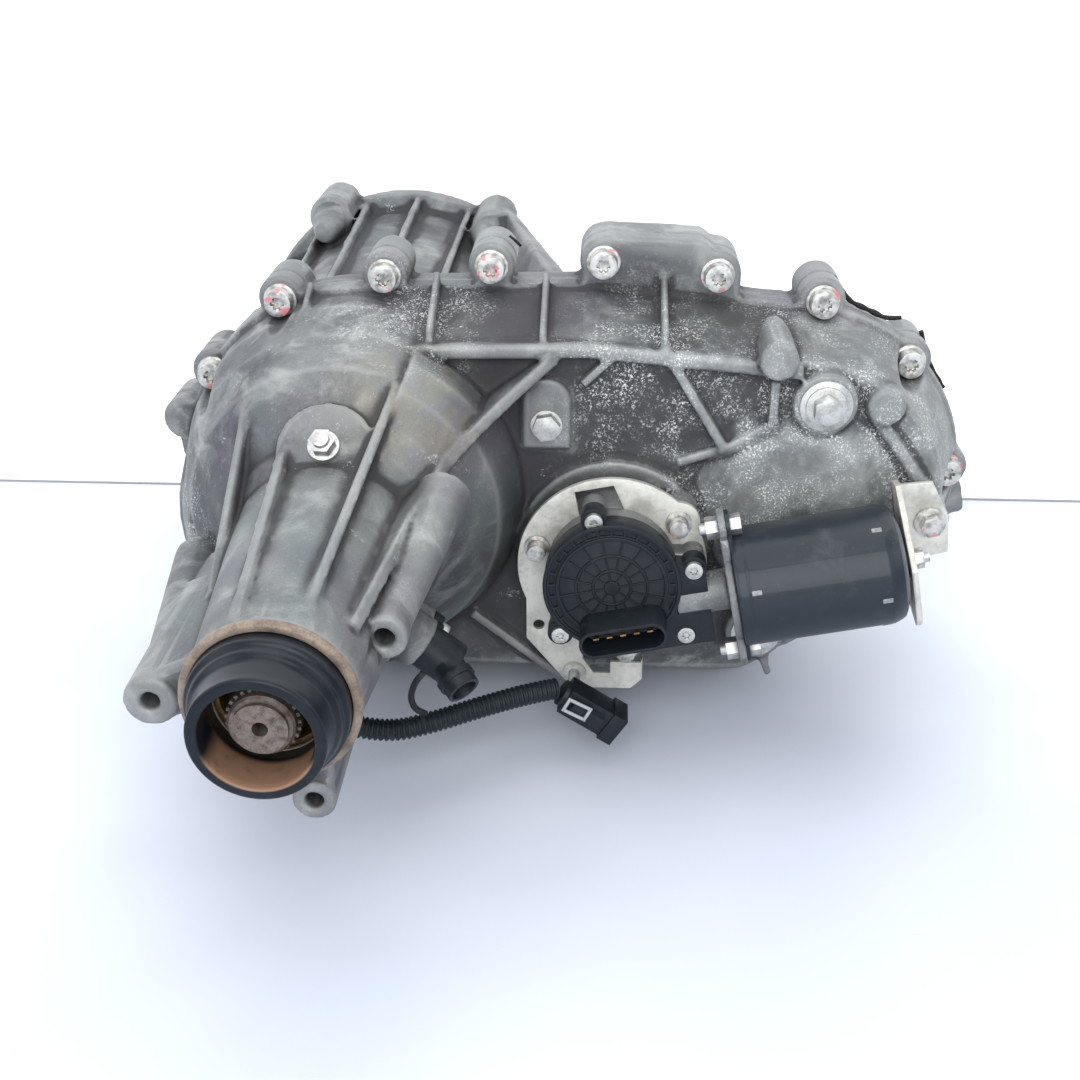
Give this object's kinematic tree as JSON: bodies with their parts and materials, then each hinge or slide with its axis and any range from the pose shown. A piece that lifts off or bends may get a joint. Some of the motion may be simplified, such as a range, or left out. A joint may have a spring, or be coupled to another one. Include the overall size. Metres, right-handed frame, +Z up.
{
  "type": "transfer case",
  "caption": "Chain-drive transfer case with a planetary range set, ribbed extension housing and an electric shift motor",
  "frame": {"origin": "centre of the transmission adapter's bolt circle, on its mounting face", "axes": "+Y out of the adapter face along the main shaft, +X towards the front output, +Z up"},
  "size_m": [0.4447, 0.482, 0.255],
  "materials": {
    "front_case_half": "as-cast, oxidised",
    "rear_case_half": "as-cast, oxidised",
    "case_sealant": "cured sealant",
    "case_bolts": "zinc plated",
    "case_dowels": "ground",
    "input_bearing": "ground",
    "shaft_seals": "moulded",
    "snap_rings": "spring steel",
    "ring_gear": "machined",
    "rear_output_bearing": "ground",
    "front_output_bearings": "ground",
    "oil_pump_housing": "machined",
    "oil_pickup_tube": "drawn",
    "sump_magnet": "sintered",
    "extension_bushing": "bronze lined",
    "seal_retainer_ring": "dulled",
    "dust_boot": "moulded",
    "oil_plugs": "plated",
    "shoulder_stud": "zinc plated",
    "locator_bolt": "zinc plated",
    "speed_sensors": "moulded",
    "speed_sensor_bolts": "zinc plated",
    "encoder_plate": "zinc plated",
    "encoder_plate_bolts": "plated",
    "gear_housing": "as-cast",
    "sensor_cover": "moulded",
    "sensor_cover_screws": "zinc plated",
    "connector_pins": "tinned",
    "motor_can": "black paint",
    "motor_flange_fasteners": "zinc plated",
    "motor_bracket": "zinc plated",
    "bracket_fasteners": "zinc plated",
    "harness_loom": "corrugated tube",
    "sensor_lead": "insulated wires",
    "harness_connector": "moulded",
    "harness_clip": "spring steel",
    "shift_rail": "ground",
    "drive_chain": "oiled steel",
    "input_shaft": "machined",
    "planet_carrier": "machined",
    "planet_pins": "ground",
    "planet_gear_1": "machined",
    "planet_gear_2": "machined",
    "planet_gear_3": "machined",
    "planet_gear_4": "machined",
    "mainshaft": "machined, light rust",
    "clutch_hub": "machined",
    "clutch_plates": "lined",
    "tone_ring": "machined",
    "pump_rotor": "sintered",
    "shaft_end_plug": "rusted",
    "drive_sprocket": "machined",
    "front_output_shaft": "machined",
    "driven_sprocket": "machined",
    "front_output_flange": "machined",
    "flange_nut": "plated",
    "range_sleeve": "machined",
    "range_fork": "cast",
    "sector_shaft": "machined",
    "motor_armature": "wound core"
  },
  "bodies": {
    "case": {"front_case_half": "front_case_half", "rear_case_half": "rear_case_half", "case_sealant": "case_sealant", "case_bolts": "case_bolts", "case_dowels": "case_dowels", "input_bearing": "input_bearing", "shaft_seals": "shaft_seals", "snap_rings": "snap_rings", "ring_gear": "ring_gear", "rear_output_bearing": "rear_output_bearing", "front_output_bearings": "front_output_bearings", "oil_pump_housing": "oil_pump_housing", "oil_pickup_tube": "oil_pickup_tube", "sump_magnet": "sump_magnet", "extension_bushing": "extension_bushing", "seal_retainer_ring": "seal_retainer_ring", "dust_boot": "dust_boot", "oil_plugs": "oil_plugs", "shoulder_stud": "shoulder_stud", "locator_bolt": "locator_bolt", "speed_sensors": "speed_sensors", "speed_sensor_bolts": "speed_sensor_bolts", "encoder_plate": "encoder_plate", "encoder_plate_bolts": "encoder_plate_bolts", "gear_housing": "gear_housing", "sensor_cover": "sensor_cover", "sensor_cover_screws": "sensor_cover_screws", "connector_pins": "connector_pins", "motor_can": "motor_can", "motor_flange_fasteners": "motor_flange_fasteners", "motor_bracket": "motor_bracket", "bracket_fasteners": "bracket_fasteners", "harness_loom": "harness_loom", "sensor_lead": "sensor_lead", "harness_connector": "harness_connector", "harness_clip": "harness_clip", "shift_rail": "shift_rail", "drive_chain": "drive_chain"},
    "input": {"input_shaft": "input_shaft"},
    "carrier": {"planet_carrier": "planet_carrier", "planet_pins": "planet_pins"},
    "planet_1": {"planet_gear_1": "planet_gear_1"},
    "planet_2": {"planet_gear_2": "planet_gear_2"},
    "planet_3": {"planet_gear_3": "planet_gear_3"},
    "planet_4": {"planet_gear_4": "planet_gear_4"},
    "main": {"mainshaft": "mainshaft", "clutch_hub": "clutch_hub", "clutch_plates": "clutch_plates", "tone_ring": "tone_ring", "pump_rotor": "pump_rotor", "shaft_end_plug": "shaft_end_plug"},
    "drive": {"drive_sprocket": "drive_sprocket"},
    "front_output": {"front_output_shaft": "front_output_shaft", "driven_sprocket": "driven_sprocket", "front_output_flange": "front_output_flange", "flange_nut": "flange_nut"},
    "sleeve": {"range_sleeve": "range_sleeve"},
    "fork": {"range_fork": "range_fork"},
    "sector": {"sector_shaft": "sector_shaft"},
    "armature": {"motor_armature": "motor_armature"}
  },
  "joints": [
    {"name": "input_spin", "type": "hinge", "parent": "case", "child": "input", "pos_m": [0, -0.11, 0], "axis": [0, 1, 0], "continuous": true},
    {"name": "main_spin", "type": "hinge", "parent": "case", "child": "main", "pos_m": [0, -0.29, 0], "axis": [0, 1, 0], "continuous": true},
    {"name": "carrier_spin", "type": "hinge", "parent": "case", "child": "carrier", "pos_m": [0, -0.14, 0], "axis": [0, 1, 0], "continuous": true},
    {"name": "drive_sprocket_spin", "type": "hinge", "parent": "case", "child": "drive", "pos_m": [0, -0.218, 0], "axis": [0, 1, 0], "continuous": true},
    {"name": "front_output_spin", "type": "hinge", "parent": "case", "child": "front_output", "pos_m": [0.2286, -0.2, 0], "axis": [0, 1, 0], "continuous": true},
    {"name": "planet_1_spin", "type": "hinge", "parent": "carrier", "child": "planet_1", "pos_m": [0.04896, -0.133, 0], "axis": [0, 1, 0], "continuous": true},
    {"name": "planet_2_spin", "type": "hinge", "parent": "carrier", "child": "planet_2", "pos_m": [0, -0.133, 0.04896], "axis": [0, 1, 0], "continuous": true},
    {"name": "planet_3_spin", "type": "hinge", "parent": "carrier", "child": "planet_3", "pos_m": [-0.04896, -0.133, 0], "axis": [0, 1, 0], "continuous": true},
    {"name": "planet_4_spin", "type": "hinge", "parent": "carrier", "child": "planet_4", "pos_m": [0, -0.133, -0.04896], "axis": [0, 1, 0], "continuous": true},
    {"name": "sector_turn", "type": "hinge", "parent": "case", "child": "sector", "pos_m": [0.1345, -0.25, -0.03], "axis": [0, -1, 0], "range_deg": [0, 60]},
    {"name": "fork_slide", "type": "slide", "parent": "case", "child": "fork", "axis": [0, -1, 0], "range_m": [0, 0.012]},
    {"name": "sleeve_slide", "type": "slide", "parent": "main", "child": "sleeve", "axis": [0, -1, 0], "range_m": [0, 0.012]},
    {"name": "armature_spin", "type": "hinge", "parent": "case", "child": "armature", "pos_m": [0.22598, -0.288, -0.02791], "axis": [0.9792, 0, 0.2028], "range_deg": [0, 1440]}
  ],
  "couplings": [
    {"joint": "main_spin", "follows": "input_spin", "ratio": 1},
    {"joint": "carrier_spin", "follows": "input_spin", "ratio": 0.36765},
    {"joint": "drive_sprocket_spin", "follows": "input_spin", "ratio": 1},
    {"joint": "front_output_spin", "follows": "input_spin", "ratio": 1},
    {"joint": "planet_1_spin", "follows": "input_spin", "ratio": -1.7565},
    {"joint": "planet_2_spin", "follows": "input_spin", "ratio": -1.7565},
    {"joint": "planet_3_spin", "follows": "input_spin", "ratio": -1.7565},
    {"joint": "planet_4_spin", "follows": "input_spin", "ratio": -1.7565},
    {"joint": "fork_slide", "follows": "sector_turn", "m_per_rad": 0.011459},
    {"joint": "sleeve_slide", "follows": "sector_turn", "m_per_rad": 0.011459},
    {"joint": "armature_spin", "follows": "sector_turn", "ratio": 24}
  ]
}
